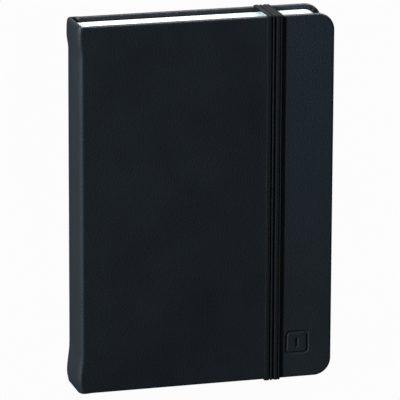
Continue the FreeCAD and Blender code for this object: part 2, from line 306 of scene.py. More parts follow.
def cover_leather_material():
    """Near-black soft leather with a satin finish: painted light makes it paler round the fore edge, painted
    shade darkens the creases of its grain, and it is paler where edges are rubbed.
    """
    material, tree, shader, place = new_material("black_cover_leather", 0.5, 0.3)
    grain = use_group(tree, LEATHER_GRAIN, place, Cell_Size=0.0011)
    dust = use_group(tree, FINE_DUST, place, Amount=0.25)
    rubbed = add_node(tree, "ShaderNodeAttribute", attribute_name="rubbed")
    painted_fore_light = add_node(tree, "ShaderNodeAttribute", attribute_name="painted_fore_light")
    broken = remap(tree, grain.outputs["Mottle"], 0.42, 0.62, 0.2, 1.0)
    wear = math_node(tree, "MULTIPLY", rubbed.outputs["Fac"], broken)
    tone = remap(tree, grain.outputs["Mottle"], 0.3, 0.7, 0.0, 1.0)
    base = mix_colors(tree, tone, (0.0088, 0.0100, 0.0116), (0.0110, 0.0125, 0.0145))
    # painted light: the base colour is made paler and bluer round the fore edge and towards the head
    base = mix_colors(tree, painted_fore_light.outputs["Fac"], base, (0.0190, 0.0240, 0.0270))
    # painted shade: the creases of the grain are darkened in the base colour
    crease_painted_shade = math_node(tree, "MULTIPLY", grain.outputs["Crease"], 0.5)
    base = mix_colors(tree, crease_painted_shade, base, (0.0060, 0.0068, 0.0080))
    base = mix_colors(tree, math_node(tree, "MULTIPLY", wear, 0.45), base, (0.020, 0.023, 0.027))
    base = mix_colors(tree, dust.outputs["Mask"], base, (0.10, 0.10, 0.10))
    tree.links.new(base, shader.inputs["Base Color"])
    rough = remap(tree, grain.outputs["Mottle"], 0.3, 0.7, 0.46, 0.56)
    rough = math_node(tree, "MULTIPLY_ADD", grain.outputs["Crease"], 0.10, rough)
    tree.links.new(math_node(tree, "MULTIPLY_ADD", wear, -0.08, rough), shader.inputs["Roughness"])
    add_bump(tree, shader, grain.outputs["Height"], 0.5, 0.00009)
    return material


def paper_material(name, pale, deep, fibre_size):
    """Uncoated paper between two close tones."""
    material, tree, shader, place = new_material(name, 0.85, 0.25)
    fibre = use_group(tree, PAPER_FIBRE, place, Fibre_Size=fibre_size)
    tone = remap(tree, fibre.outputs["Cloud"], 0.35, 0.65, 0.0, 1.0)
    tree.links.new(mix_colors(tree, tone, pale, deep), shader.inputs["Base Color"])
    tree.links.new(remap(tree, fibre.outputs["Height"], 0.3, 0.7, 0.78, 0.92), shader.inputs["Roughness"])
    add_bump(tree, shader, fibre.outputs["Height"], 0.25, 0.00003)
    return material


def page_edge_material():
    """The cut edges of the leaves: white paper with thin grey lines of painted shade where leaves part."""
    material, tree, shader, place = new_material("page_paper", 0.85, 0.25)
    fibre = use_group(tree, PAPER_FIBRE, place, Fibre_Size=0.0006)
    stretch = add_node(tree, "ShaderNodeMapping")
    stretch.inputs["Scale"].default_value = (60.0, 5200.0, 60.0)
    tree.links.new(place, stretch.inputs["Vector"])
    streaks = add_node(tree, "ShaderNodeTexNoise", {"Scale": 1.0, "Detail": 2.0})
    tree.links.new(stretch.outputs[0], streaks.inputs["Vector"])
    # painted shade: thin grey streaks along the edges for the gaps between leaves
    tone = remap(tree, streaks.outputs["Fac"], 0.35, 0.7, 0.0, 1.0)
    base = mix_colors(tree, tone, (0.86, 0.855, 0.83), (0.66, 0.65, 0.62))
    tree.links.new(base, shader.inputs["Base Color"])
    add_bump(tree, shader, fibre.outputs["Height"], 0.2, 0.00003)
    return material


def ruled_page_material():
    """A ruled page: pale paper with thin grey lines one RULING apart, kept clear of the head margin."""
    material, tree, shader, place = new_material("ruled_paper", 0.85, 0.25)
    fibre = use_group(tree, PAPER_FIBRE, place, Fibre_Size=0.0006)
    split = add_node(tree, "ShaderNodeSeparateXYZ")
    tree.links.new(place, split.inputs[0])
    below = math_node(tree, "SUBTRACT", PAGE_HEAD - 15 * MM, split.outputs["Z"])
    phase = math_node(tree, "PINGPONG", below, RULING / 2)
    line = remap(tree, phase, 0.05 * MM, 0.11 * MM, 1.0, 0.0)
    started = math_node(tree, "GREATER_THAN", below, -1.0 * MM)
    line = math_node(tree, "MULTIPLY", line, started)
    tone = remap(tree, fibre.outputs["Cloud"], 0.35, 0.65, 0.0, 1.0)
    base = mix_colors(tree, tone, (0.86, 0.85, 0.80), (0.83, 0.82, 0.765))
    base = mix_colors(tree, math_node(tree, "MULTIPLY", line, 0.55), base, (0.42, 0.44, 0.47))
    tree.links.new(base, shader.inputs["Base Color"])
    add_bump(tree, shader, fibre.outputs["Height"], 0.25, 0.00003)
    return material


def elastic_material():
    """Black knitted elastic: rows of fine stitches across lengthwise ribs, dull, with painted shade between
    its stitches and in its grooves.
    """
    material, tree, shader, _ = new_material("black_elastic", 0.75, 0.2)
    surface = tree.nodes.new("ShaderNodeUVMap")
    surface.uv_map = "UVMap"
    split = add_node(tree, "ShaderNodeSeparateXYZ")
    tree.links.new(surface.outputs["UV"], split.inputs[0])
    across, along = split.outputs["X"], split.outputs["Y"]
    column = math_node(tree, "MULTIPLY", across, 2.0 * math.pi / RIB_PITCH)
    row = math_node(tree, "MULTIPLY", along, 2.0 * math.pi / STITCH_PITCH)
    rib = math_node(tree, "SINE", column)
    stagger = math_node(tree, "MULTIPLY", math_node(tree, "SIGN", rib), math.pi / 2)
    stitch = math_node(tree, "SINE", math_node(tree, "ADD", row, stagger))
    ridge = math_node(tree, "ABSOLUTE", rib)
    weave = math_node(tree, "MULTIPLY", math_node(tree, "MULTIPLY_ADD", stitch, 0.5, 0.5), ridge)
    fuzz = add_node(tree, "ShaderNodeTexNoise", {"Scale": 2500.0, "Detail": 3.0})
    tree.links.new(surface.outputs["UV"], fuzz.inputs["Vector"])
    height = math_node(tree, "MULTIPLY_ADD", fuzz.outputs["Fac"], 0.5, weave)
    groove_painted_shade = add_node(tree, "ShaderNodeAttribute", attribute_name="groove_painted_shade")
    # painted shade: the knit is darker in its low places than on its raised stitches
    raised = remap(tree, height, 0.2, 1.3, 0.0, 1.0)
    base = mix_colors(tree, raised, (0.0025, 0.0027, 0.0030), (0.0098, 0.0105, 0.0114))
    # painted shade: the grooves of the band are darkened in the base colour
    base = mix_colors(tree, groove_painted_shade.outputs["Fac"], base, (0.0012, 0.0012, 0.0013))
    tree.links.new(base, shader.inputs["Base Color"])
    tree.links.new(remap(tree, weave, 0.0, 1.0, 0.85, 0.62), shader.inputs["Roughness"])
    add_bump(tree, shader, height, 0.6, 0.00008)
    return material


def cloth_material(name, pale, deep, pitch):
    """Plain-woven book cloth or lining: threads over and under at one pitch, with painted shade on the
    threads that go under.
    """
    material, tree, shader, place = new_material(name, 0.9, 0.2)
    split = add_node(tree, "ShaderNodeSeparateXYZ")
    tree.links.new(place, split.inputs[0])
    turns = 2.0 * math.pi / pitch
    level = math_node(tree, "SINE", math_node(tree, "MULTIPLY", split.outputs["Z"], turns))
    side = math_node(tree, "ADD", split.outputs["X"], split.outputs["Y"])
    upright = math_node(tree, "SINE", math_node(tree, "MULTIPLY", side, turns))
    weave = math_node(tree, "MULTIPLY", level, upright)
    # painted shade: the cloth is darker where its threads go under and paler where they come over
    tone = remap(tree, weave, -1.0, 1.0, 0.0, 1.0)
    tree.links.new(mix_colors(tree, tone, deep, pale), shader.inputs["Base Color"])
    add_bump(tree, shader, weave, 0.5, 0.00005)
    return material


def board_material():
    """Grey pulp board with flecks."""
    material, tree, shader, place = new_material("grey_board", 0.9, 0.2)
    flecks = add_node(tree, "ShaderNodeTexNoise", {"Scale": 1800.0, "Detail": 6.0, "Roughness": 0.7})
    tree.links.new(place, flecks.inputs["Vector"])
    tone = remap(tree, flecks.outputs["Fac"], 0.35, 0.7, 0.0, 1.0)
    base = mix_colors(tree, tone, (0.36, 0.34, 0.30), (0.22, 0.21, 0.19))
    tree.links.new(base, shader.inputs["Base Color"])
    add_bump(tree, shader, flecks.outputs["Fac"], 0.4, 0.00005)
    return material


def thread_material():
    """Waxed linen thread: a fine lay round its length, with painted shade in the hollows of the lay."""
    material, tree, shader, place = new_material("linen_thread", 0.7, 0.3)
    lay = add_node(tree, "ShaderNodeTexWave", {"Scale": 900.0, "Distortion": 1.0})
    tree.links.new(place, lay.inputs["Vector"])
    # painted shade: the hollows of the lay are darker than its ridges
    tree.links.new(mix_colors(tree, lay.outputs["Fac"], (0.55, 0.52, 0.45), (0.80, 0.77, 0.70)),
                   shader.inputs["Base Color"])
    add_bump(tree, shader, lay.outputs["Fac"], 0.4, 0.00004)
    return material


COVER_LEATHER = cover_leather_material()
PAGE_PAPER = page_edge_material()
RULED_PAPER = ruled_page_material()
ENDPAPER = paper_material("endpaper", (0.84, 0.83, 0.78), (0.79, 0.78, 0.73), 0.0007)
POCKET_PAPER = paper_material("pocket_paper", (0.80, 0.79, 0.74), (0.75, 0.74, 0.69), 0.0008)
ELASTIC = elastic_material()
LINING = cloth_material("lining_cloth", (0.72, 0.70, 0.64), (0.52, 0.50, 0.45), 0.0006)
POCKET_CLOTH = cloth_material("pocket_cloth", (0.020, 0.022, 0.024), (0.008, 0.009, 0.010), 0.0005)
BOARD = board_material()
THREAD = thread_material()


# ---------------------------------------------------------------- leather skins

PLEATS = 9                                       # lobes of gathered leather round each half turn
PLEAT_DEEP = 0.30 * MM
SWELL_TAIL, SWELL_HEAD = 1.10 * MM, 0.70 * MM    # most that the spine stands out at each end
BEND_WIDE, BEND_TIGHT = 4.0 * MM, 1.35 * MM      # radii of the bend by the spine and by the cover
SPINE_POINTS = 8                                 # along each half of the spine's flat
BEND_TURN = np.radians(stops((0, 0), (40, 8), (44, 2), (46, 2), (50, 2), (90, 10)))


def shoulder_bend():
    """The bend from spine to cover, wide by the spine and tight by the cover: x and y from its first point.

    dx = r sin(turn) dturn and dy = r cos(turn) dturn, where r falls from BEND_WIDE to BEND_TIGHT between
    25 and 50 degrees.
    """
    radius = BEND_WIDE - (BEND_WIDE - BEND_TIGHT) * smoothstep(25, 50, np.degrees(BEND_TURN))
    step = np.diff(BEND_TURN)
    across, along = radius * np.sin(BEND_TURN), radius * np.cos(BEND_TURN)
    x = np.concatenate([[0], np.cumsum(step * (across[1:] + across[:-1]) / 2)])
    y = np.concatenate([[0], np.cumsum(step * (along[1:] + along[:-1]) / 2)])
    return x, y


BEND_X, BEND_Y = shoulder_bend()
SEAM = int(np.argmin(np.abs(BEND_TURN - math.pi / 4)))  # the front cover's leather starts here


def edge_profile():
    """Inset from the outline and depth, a share of the thickness, from the outer face to the inner face.

    The turn is a superellipse with n = ROUND_POWER: |1 - inset / EDGE_ROUND|^n + |1 - 2 depth|^n = 1.
    """
    angle = np.linspace(math.pi / 2, -math.pi / 2, 15)
    power = 2.0 / ROUND_POWER
    inset = EDGE_ROUND * (1.0 - np.abs(np.cos(angle)) ** power)
    depth = 0.5 * (1.0 - np.sign(np.sin(angle)) * np.abs(np.sin(angle)) ** power)
    flats = np.array([REACH, 3.4 * MM, 2.3 * MM, 1.5 * MM])
    inset = np.concatenate([flats, inset, flats[::-1]])
    depth = np.concatenate([np.zeros(4), depth, np.ones(4)])
    return inset, depth


def half_section(side, first_angle=0.0):
    """Outer line of the covers from the middle of the spine, round the shoulder, to the flat of one cover.

    Gives for each point its place (x, y), its inward direction (x, y), the thickness there and how far it
    belongs to the spine (1 on the spine, 0 on the cover). first_angle cuts off all before that angle of bend.
    """
    centre = (FRONT_FACE + BACK_FACE) / 2
    turn = BEND_TURN
    face_y = np.linspace(centre, FRONT_FACE + BEND_Y[-1], SPINE_POINTS + 1)[:-1]
    zero, one = np.zeros(SPINE_POINTS), np.ones(SPINE_POINTS)
    spine = np.stack([SPINE_FACE * one, face_y, one, zero, SPINE_THICK * one, one], 1)
    bend_thick = SPINE_THICK + (JOINT_THICK - SPINE_THICK) * smoothstep(0.0, 0.5, turn / (math.pi / 2))
    bend = np.stack([SPINE_FACE + BEND_X, FRONT_FACE + BEND_Y[-1] - BEND_Y, np.cos(turn), np.sin(turn),
                     bend_thick, np.cos(turn) ** 2], 1)
    flat_x = np.linspace(SPINE_FACE + BEND_X[-1], FLAT_START, 11)[1:]
    zero, one = np.zeros(len(flat_x)), np.ones(len(flat_x))
    boarded = smoothstep(SPINE_FACE + 3.2 * MM, SPINE_FACE + 5.2 * MM, flat_x)
    flat_thick = JOINT_THICK + (COVER - JOINT_THICK) * boarded
    flat = np.stack([flat_x, FRONT_FACE * one, zero, one, flat_thick, zero], 1)
    if first_angle > 0:
        line = np.concatenate([bend[turn >= first_angle - 1e-6], flat])
    else:
        line = np.concatenate([spine, bend, flat])
    if side == "back":
        line[:, 1] = 2 * centre - line[:, 1]
        line[:, 3] *= -1
    return line


def spine_swell(z):
    """How far the spine leather stands out near tail and head, where it is doubled over.

    It stands out a little less at the very ends.
    """
    tail = 1 - smoothstep(TAIL + 5 * MM, TAIL + 17 * MM, z)
    tail = tail * (0.35 + 0.65 * smoothstep(TAIL, TAIL + 4.5 * MM, z))
    head = smoothstep(HEAD - 12.5 * MM, HEAD - 6 * MM, z)
    head = head * (1 - 0.45 * smoothstep(HEAD - 3 * MM, HEAD, z))
    return SWELL_TAIL * tail + SWELL_HEAD * head


def soft_waves(x, y, z):
    """Leather over board is never quite flat: three long shallow waves, together under 0.06 mm."""
    first = 0.022 * np.sin(95 * x + 31 * z + 1.3)
    second = 0.018 * np.sin(64 * z - 48 * x + 70 * y + 0.4)
    third = 0.012 * np.sin(210 * x + 0.9) * np.sin(170 * z + 2.1)
    return MM * (first + second + third)


MARK_X = FORE - 14.4 * MM
MARK_Z = TAIL + 14.7 * MM


def front_relief(x, z):
    """Depth of the blind-stamped maker's mark: the outline of a rounded square round a small upright bar."""
    dx, dz = np.abs(x - MARK_X), np.abs(z - MARK_Z)
    half, radius = 4.4 * MM, 1.5 * MM
    qx, qz = dx - (half - radius), dz - (half - radius)
    outside = np.hypot(np.maximum(qx, 0), np.maximum(qz, 0)) + np.minimum(np.maximum(qx, qz), 0) - radius
    ring = 1 - smoothstep(0.22 * MM, 0.62 * MM, np.abs(outside))
    bar = np.maximum(dx - 0.3 * MM, dz - 1.7 * MM)
    bar = 1 - smoothstep(0.0, 0.4 * MM, bar)
    return 0.24 * MM * np.maximum(ring, bar)


def back_relief(x, z):
    """Depth of the two channels that the elastic's ends press into the back cover, down to their slots."""
    across = 1 - smoothstep(BAND_HALF + 0.1 * MM, BAND_HALF + 0.7 * MM, np.abs(x - BAND_MIDDLE))
    slot_height = anchor_low.z + SLOT_RUN + 1.15 * MM - TAIL
    rise = np.minimum(z - TAIL, HEAD - z)
    along = 1 - smoothstep(slot_height, slot_height + 0.8 * MM, rise)
    return 0.32 * MM * across * along


def skin_shell(name, side, line, flat_x, z_rows, relief, fore_edge):
    """Closed leather shell: outer grid, edge band rolled to the inside, inner grid and end caps.

    A point of the outer grid is P(s) + N(s) (relief + waves - swell): P runs along the section line and then
    along the flat, where x is squeezed so that the last column follows the rounded corners REACH inside the
    outline. The edge band adds outward * (REACH - inset) + N * depth * thickness for each entry of the edge
    profile, and on the inner side of the corners |sin(PLEATS angle)| gathers the leather into pleats.
    """
    inset, depth = edge_profile()
    flat_normal = 1.0 if side == "front" else -1.0
    face_y = FRONT_FACE if side == "front" else BACK_FACE
    flat = np.array([[x, face_y, 0.0, flat_normal, COVER, 0.0] for x in flat_x])
    columns = np.concatenate([line, flat]) if len(flat) else line
    count, rows = len(columns), len(z_rows)
    core_corner = CORNER - REACH
    from_end = np.minimum(z_rows - z_rows[0], z_rows[-1] - z_rows)
    drop = np.maximum(core_corner - from_end, 0)
    pulled = core_corner - np.sqrt(np.maximum(core_corner ** 2 - drop ** 2, 0))
    x = np.repeat(columns[:, :1], rows, 1)
    if fore_edge:
        span = FORE - REACH - FLAT_START
        share = np.clip((columns[:, :1] - FLAT_START) / span, 0, 1)
        x = x - share * pulled[None, :]
    z = np.repeat(z_rows[None, :], count, 0)
    y = np.repeat(columns[:, 1:2], rows, 1)
    rest = np.stack([x, y, z], -1)
    inward = np.concatenate([columns[:, 2:4], np.zeros((count, 1))], 1)
    thick, spine_share = columns[:, 4], columns[:, 5]

    tail_row = [(i, 0) for i in range(count)]
    head_row = [(i, rows - 1) for i in reversed(range(count))]
    down, up = np.array([0, 0, -1.0]), np.array([0, 0, 1.0])
    if fore_edge:
        fore = [(count - 1, j) for j in range(1, rows - 1)]
        lean = np.sqrt(np.maximum(1 - (drop / core_corner) ** 2, 0))
        sign = np.where(z_rows < (TAIL + HEAD) / 2, -1.0, 1.0)
        radial = np.stack([lean, np.zeros(rows), sign * drop / core_corner], 1)
        bands = [(tail_row + fore + head_row,
                  np.concatenate([np.tile(down, (count, 1)), radial[1:-1], np.tile(up, (count, 1))]))]
    else:
        bands = [(tail_row, np.tile(down, (count, 1))), (head_row, np.tile(up, (count, 1)))]

    def displaced(points, normals, belongs, share):
        """Points moved inwards by the relief and the soft waves and outwards by the swell of the spine."""
        px, py, pz = points[..., 0], points[..., 1], points[..., 2]
        depth_here = relief(px, pz) + soft_waves(px, py, pz)
        move = (depth_here - belongs * spine_swell(pz)) * share
        return points + normals * move[..., None]

    outer = displaced(rest, inward[:, None, :], spine_share[:, None], 1.0)
    inner = rest + inward[:, None, :] * thick[:, None, None]
    points = [outer.reshape(-1, 3), inner.reshape(-1, 3)]
    rubbed = [np.zeros(count * rows), np.zeros(count * rows)]
    outer_index = np.arange(count * rows).reshape(count, rows)
    inner_index = outer_index + count * rows
    total = 2 * count * rows
    faces = [quads_of(outer_index), quads_of(inner_index)]
    ends = {}
    for nodes, outward in bands:
        i, j = np.array(nodes).T
        base, normal = rest[i, j], inward[i]
        size = len(nodes)
        table = [outer_index[i, j]]
        for row in range(1, len(inset) - 1):
            edge = base + outward * (REACH - inset[row]) + normal * (depth[row] * thick[i])[:, None]
            corner_share = np.abs(outward[:, 2] * outward[:, 0]) * 2
            angle = np.arctan2(np.abs(outward[:, 2]), outward[:, 0])
            inside = smoothstep(0.5, 1.0, depth[row]) * smoothstep(0.0, 1.2 * MM, inset[row])
            pleat = PLEAT_DEEP * corner_share * np.abs(np.sin(PLEATS * angle)) * inside
            edge = edge + normal * pleat[:, None]
            points.append(displaced(edge, normal, spine_share[i], 1 - smoothstep(0.0, 0.9, depth[row])))
            rubbed.append(np.full(size, 1 - smoothstep(0.1 * MM, 1.2 * MM, inset[row])))
            table.append(np.arange(total, total + size))
            total += size
        table.append(inner_index[i, j])
        table = np.array(table)
        faces.append(quads_of(table))
        for position, (column, row_number) in enumerate(nodes):
            if column in (0, count - 1):
                ends.setdefault(column, {})[row_number] = table[:, position]
    caps = []
    for column in (0,) if fore_edge else (0, count - 1):
        caps.append(quads_of(np.stack([outer_index[column], inner_index[column]], 0)))
        caps += [[ends[column][0]], [ends[column][rows - 1]]]
    points = np.concatenate(points)
    # painted light: a mask rising from left of the elastic to right of it and towards the head, so the cover
    # is painted paler there
    painted_fore_light = smoothstep(BAND_LEFT - 6 * MM, BAND_RIGHT + 9 * MM, points[:, 0])
    painted_fore_light = painted_fore_light * (0.55 + 0.45 * smoothstep(TAIL + 20 * MM, HEAD - 20 * MM, points[:, 2]))
    return make_piece(name, points, faces, COVER_LEATHER, caps,
                      attributes={"rubbed": np.concatenate(rubbed), "painted_fore_light": painted_fore_light})


def skin_rows(dense_low, dense_high, dense_steps):
    """Heights of a skin's rows: close together in both rounded corners and in one band of fine relief."""
    low, high = TAIL + REACH, HEAD - REACH
    corner = CORNER - REACH
    curve = corner * (1 - np.cos(np.linspace(0, math.pi / 2, 33)))
    middle = stops((low + corner, 0), (dense_low, 2), (dense_high, dense_steps), (high - 14 * MM, 48),
                   (high - corner, 16))
    return np.concatenate([low + curve[:-1], middle, high - curve[::-1][1:]])


def no_relief(x, z):
    """Depth of a face with nothing pressed into it."""
    return np.zeros_like(x)


def build_skins():
    """The leather in three pieces that meet on the spine and in the middle of the front shoulder."""
    mark_rows = skin_rows(TAIL + 8.6 * MM, TAIL + 20.8 * MM, 56)
    end = FORE - REACH
    mark_columns = stops((FLAT_START, 0), (MARK_X - 6 * MM, 36), (MARK_X + 6 * MM, 56), (end, 4))[1:]
    band_columns = stops((FLAT_START, 0), (BAND_MIDDLE - 4.2 * MM, 36), (BAND_MIDDLE - 2.4 * MM, 6),
                         (BAND_MIDDLE + 2.4 * MM, 4), (BAND_MIDDLE + 4.2 * MM, 6), (end, 8))[1:]
    front = skin_shell("front_cover_skin", "front", half_section("front", math.pi / 4), mark_columns,
                       mark_rows, front_relief, True)
    shoulder_line = half_section("front")[:SPINE_POINTS + SEAM + 1]
    shoulder = skin_shell("front_shoulder_skin", "front", shoulder_line, [], mark_rows, no_relief, False)
    back_rows = skin_rows(TAIL + 12 * MM, TAIL + 15 * MM, 10)
    back = skin_shell("back_cover_skin", "back", half_section("back"), band_columns, back_rows, back_relief,
                      True)
    return front, shoulder, back


front_skin, shoulder_skin, back_skin = build_skins()


# ---------------------------------------------------------------- pages

LEAVES = 8                                       # in each section: four folded sheets, one inside the other
LEAF_THICK = 0.128 * MM
SECTION_PITCH = 1.1 * MM                         # the lining ripples once for each section


def folded_sheet(low_y, high_y, thickness, fold_x, fore, tail, head, corner):
    """One sheet folded down its middle, as a closed shell.

    The path runs in along y = low_y from the fore edge, round a half circle of radius (high_y - low_y) / 2
    and out along y = high_y. The outer and inner surfaces lie thickness / 2 to each side of it, and the
    rounded corners squeeze x by corner - sqrt(corner^2 - (corner - height above the edge)^2).
    """
    radius = (high_y - low_y) / 2
    middle = (high_y + low_y) / 2
    turn = np.linspace(-math.pi / 2, math.pi / 2, 9)
    path = np.concatenate([[[fore, low_y, 0.0, -1.0], [(fore + fold_x) / 2, low_y, 0.0, -1.0]],
                           np.stack([fold_x - radius * np.cos(turn), middle + radius * np.sin(turn),
                                     -np.cos(turn), np.sin(turn)], 1),
                           [[(fore + fold_x) / 2, high_y, 0.0, 1.0], [fore, high_y, 0.0, 1.0]]])
    curve = corner * (1 - np.cos(np.linspace(0, math.pi / 2, 10)))
    z_rows = np.concatenate([tail + curve, head - curve[::-1]])
    drop = np.maximum(corner - np.minimum(z_rows - tail, head - z_rows), 0)
    pulled = corner - np.sqrt(corner ** 2 - drop ** 2)
    share = np.clip((path[:, 0] - fold_x) / (fore - fold_x), 0, 1)
    rows = len(z_rows)
    surfaces = []
    for side in (0.5, -0.5):
        x = path[:, :1] + path[:, 2:3] * thickness * side - share[:, None] * pulled[None, :]
        y = np.repeat(path[:, 1:2] + path[:, 3:4] * thickness * side, rows, 1)
        surfaces.append(np.stack([x, y, np.repeat(z_rows[None, :], len(path), 0)], -1))
    index = np.arange(2 * len(path) * rows).reshape(2, len(path), rows)
    return np.stack(surfaces).reshape(-1, 3), [quads_of(index[0]), quads_of(index[1])], [rim_of(index)]


def build_sections():
    """Twelve sewn sections; their sheets differ by a few hundredths of a millimetre at the trimmed edges."""
    for number in range(1, 13):
        low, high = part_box(f"section_{number:02d}")
        pitch = (high.y - low.y) / LEAVES
        points, faces, caps, total = [], [], [], 0
        for sheet in range(LEAVES // 2):
            trim = rng.uniform(-0.05, 0.0, 3) * MM
            low_y, high_y = low.y + (sheet + 0.5) * pitch, high.y - (sheet + 0.5) * pitch
            fold_x = low.x + 0.5 * (high.y - low.y)
            made, quads, rims = folded_sheet(low_y, high_y, LEAF_THICK, fold_x, high.x + trim[0],
                                             low.z - trim[1], high.z + trim[2], PAGE_CORNER)
            points.append(made)
            faces += [table + total for table in quads]
            caps += [table + total for table in rims]
            total += len(made)
        piece = make_piece(f"leaves_{number:02d}", np.concatenate(points), faces, PAGE_PAPER, caps)
        body = "front_pages" if number <= 6 else "back_half"
        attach(piece, body)
        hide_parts(f"section_{number:02d}")


def build_middle_sheet():
    """The sheet that faces the reader where the book falls open, with its fold at the sewing."""
    points, faces, caps = folded_sheet(MIDDLE - 0.045 * MM, MIDDLE + 0.045 * MM, 0.06 * MM,
                                       PAGE_SPINE + 0.15 * MM, PAGE_FORE - 0.05 * MM, PAGE_TAIL + 0.05 * MM,
                                       PAGE_HEAD - 0.05 * MM, PAGE_CORNER)
    sheet = make_piece("middle_sheet", points, faces, RULED_PAPER, caps)
    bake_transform(sheet)


def build_lining():
    """The cloth glued over the backs of the sections, one strip from the first to the last."""
    low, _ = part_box("front_spine_lining")
    _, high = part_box("rear_spine_lining")
    y_columns = stops((low.y, 0), (MIDDLE - 0.4 * MM, 6), (MIDDLE + 0.4 * MM, 8), (high.y, 6))
    z_rows = np.linspace(low.z, high.z, 30)
    y, z = np.meshgrid(y_columns, z_rows, indexing="ij")
    ripple = 0.03 * MM * np.sin(2 * math.pi * (y - low.y) / SECTION_PITCH) * (np.abs(y - MIDDLE) > 0.5 * MM)
    outer = np.stack([low.x + 0.03 * MM + ripple, y, z], -1)
    inner = np.stack([np.full_like(y, high.x), y, z], -1)
    index = np.arange(2 * y.size).reshape(2, *y.shape)
    lining = make_piece("spine_lining", np.stack([outer, inner]), [quads_of(index[0]), quads_of(index[1])],
                        LINING, [rim_of(index)])
    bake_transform(lining)
    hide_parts("front_spine_lining", "rear_spine_lining")


def hinge_strip(name, side):
    """The fold of endpaper between pastedown and flyleaf: a sheet along a smooth curve through three corners.

    The curve is the quadratic (1-t)^2 P0 + 2 t (1-t) P1 + t^2 P2 with P1 tucked towards the spine.
    """
    paste_low, paste_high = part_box(side + "_pastedown")
    leaf_low, leaf_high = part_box(side + "_flyleaf")
    paste_y, leaf_y = (paste_low.y + paste_high.y) / 2, (leaf_low.y + leaf_high.y) / 2
    lean = 1.0 if side == "front" else -1.0
    first = np.array([paste_low.x + 0.6 * MM, paste_y])
    tuck = np.array([SPINE_FACE + 0.6 * MM, paste_y - lean * 0.2 * MM])
    last = np.array([leaf_low.x + 0.5 * MM, leaf_y])
    t = np.linspace(0, 1, 17)[:, None]
    line = (1 - t) ** 2 * first + 2 * t * (1 - t) * tuck + t ** 2 * last
    slope = np.gradient(line, axis=0)
    normal = np.stack([-slope[:, 1], slope[:, 0]], 1) / np.linalg.norm(slope, axis=1)[:, None]
    z_rows = np.linspace(leaf_low.z + 0.3 * MM, leaf_high.z - 0.3 * MM, 24)
    sheets = []
    for offset in (0.07 * MM, -0.07 * MM):
        xy = np.repeat((line + normal * offset)[:, None, :], len(z_rows), 1)
        sheets.append(np.concatenate([xy, np.repeat(z_rows[None, :, None], len(line), 0)], -1))
    index = np.arange(2 * len(line) * len(z_rows)).reshape(2, len(line), len(z_rows))
    strip = make_piece(name, np.stack(sheets), [quads_of(index[0]), quads_of(index[1])], ENDPAPER,
                       [rim_of(index)])
    return strip


build_sections()
build_middle_sheet()
build_lining()
front_hinge = hinge_strip("front_endpaper_hinge", "front")
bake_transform(front_hinge)
back_hinge = hinge_strip("back_endpaper_hinge", "back")
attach(back_hinge, "back_half")


# ---------------------------------------------------------------- elastic

GROOVES = ((0.07, 0.06 * MM, 0.12 * MM), (0.335, 0.42 * MM, 0.26 * MM), (0.57, 0.30 * MM, 0.46 * MM),
           (0.87, 0.24 * MM, 0.18 * MM))        # place as a share of the band's width, depth, spread
FRONT_LINE = (strand_low.y + strand_high.y) / 2  # these four are the middle of the band's thickness
TAIL_LINE = strand_low.z + BAND_THICK / 2
HEAD_LINE = strand_high.z - BAND_THICK / 2
BACK_LINE = BACK_FACE - BAND_THICK / 2
BAND_BEND = 0.8 * MM
DIVE_RADIUS = 0.45 * MM                          # of the turn into the slot


def band_section():
    """Cross-section of the band, a closed loop of (across, out) with the ribs on its outer side.

    Bell-shaped grooves part the ribs, depth * exp(-((place - centre) / spread)^2), and both edges are
    rounded off.
    """
    across = np.linspace(-1.0, 1.0, 97)
    place = (across + 1) * BAND_HALF
    hollow = sum(depth * np.exp(-((place - share * 2 * BAND_HALF) / spread) ** 2)
                 for share, depth, spread in GROOVES)
    fine = 0.02 * MM * np.abs(np.sin(math.pi * place / RIB_PITCH))
    round_off = np.sqrt(1 - np.abs(across) ** 14)
    top = (BAND_THICK / 2 - hollow - fine) * round_off
    below = -BAND_THICK / 2 * round_off
    u = np.concatenate([across, across[1:-1][::-1]]) * BAND_HALF
    v = np.concatenate([top, below[1:-1][::-1]])
    deepest = max(depth for _, depth, _ in GROOVES)
    # dark is the painted shade of the grooves: each point's groove depth as a share of the deepest
    dark = np.concatenate([hollow / deepest, np.zeros(len(across) - 2)])
    return u, v, np.clip(dark, 0, 1)


def bend(centre_y, centre_z, start, stop):
    """Points and outward directions round a quarter circle in the YZ plane, angles from +Y towards +Z."""
    angle = np.radians(np.linspace(start, stop, 9))
    outward = np.stack([np.cos(angle), np.sin(angle)], 1)
    return np.concatenate([np.array([centre_y, centre_z]) + BAND_BEND * outward, outward], 1)


def run(first, last, outward, steps):
    """Points and one outward direction along a straight run, its ends left out."""
    t = np.linspace(0, 1, steps + 1)[1:-1, None]
    places = (1 - t) * np.array(first) + t * np.array(last)
    return np.concatenate([places, np.tile(outward, (len(places), 1))], 1)


def band_piece(name, path):
    """The band's cross-section carried along a path of (y, z, outward y, outward z)."""
    u, v, dark = band_section()
    count, around = len(path), len(u)
    x = np.repeat((BAND_MIDDLE + u)[None, :], count, 0)
    y = path[:, :1] + path[:, 2:3] * v[None, :]
    z = path[:, 1:2] + path[:, 3:4] * v[None, :]
    index = np.arange(count * around).reshape(count, around)
    index_round = np.concatenate([index, index[:, :1]], 1)
    length = np.concatenate([[0], np.cumsum(np.linalg.norm(np.diff(path[:, :2], axis=0), axis=1))])
    uv = np.stack([np.repeat((u + BAND_HALF)[None, :], count, 0), np.repeat(length[:, None], around, 1)], -1)
    # the painted shade of the grooves goes with the piece as a point attribute
    piece = make_piece(name, np.stack([x, y, z], -1), [quads_of(index_round)], ELASTIC,
                       [[index[0]], [index[-1]]], uv=uv.reshape(-1, 2),
                       attributes={"groove_painted_shade": np.tile(dark, count)})
    return piece


